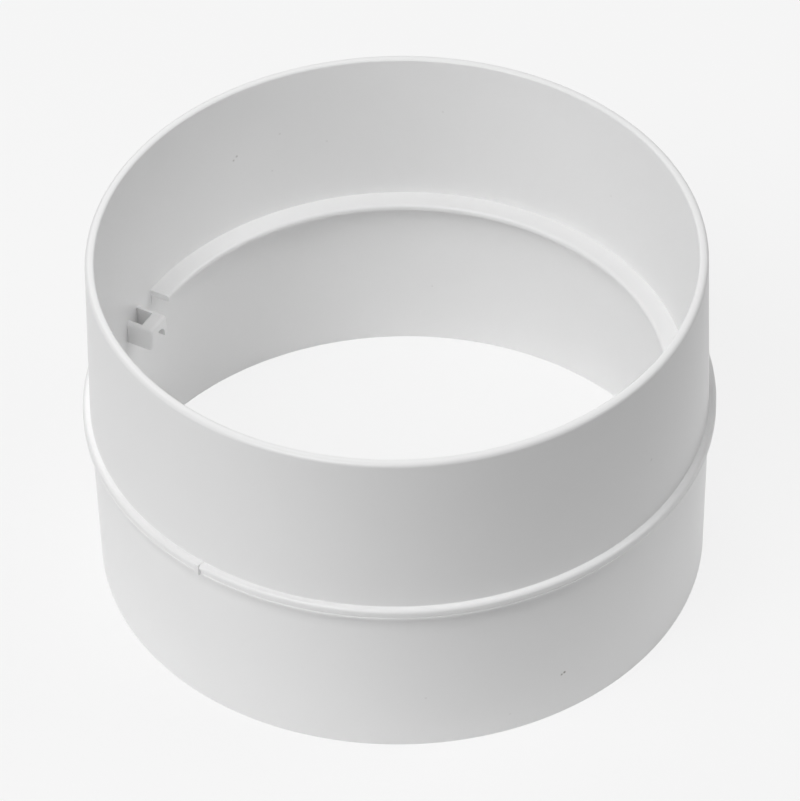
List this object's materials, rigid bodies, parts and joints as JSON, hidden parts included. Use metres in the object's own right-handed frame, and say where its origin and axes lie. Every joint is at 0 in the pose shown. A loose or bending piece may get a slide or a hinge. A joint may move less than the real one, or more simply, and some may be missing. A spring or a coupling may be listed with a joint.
{
  "type": "duct connector",
  "caption": "Straight round duct connector: a moulded plastic sleeve with a tapered spigot each way, a stop bead at mid length, and a flap seat with pin lugs inside.",
  "frame": {"origin": "centre of the lower rim, on the plane that the lower rim stands on", "axes": "+Z along the duct axis, towards the rim that the flap seat faces; the flap's pin line is parallel to X and the seat is on the +Y side"},
  "size_m": [0.128, 0.128, 0.0762],
  "materials": {
    "white_plastic": "fine satin, as moulded"
  },
  "bodies": {
    "root": {"duct_connector": "white_plastic"}
  },
  "joints": []
}
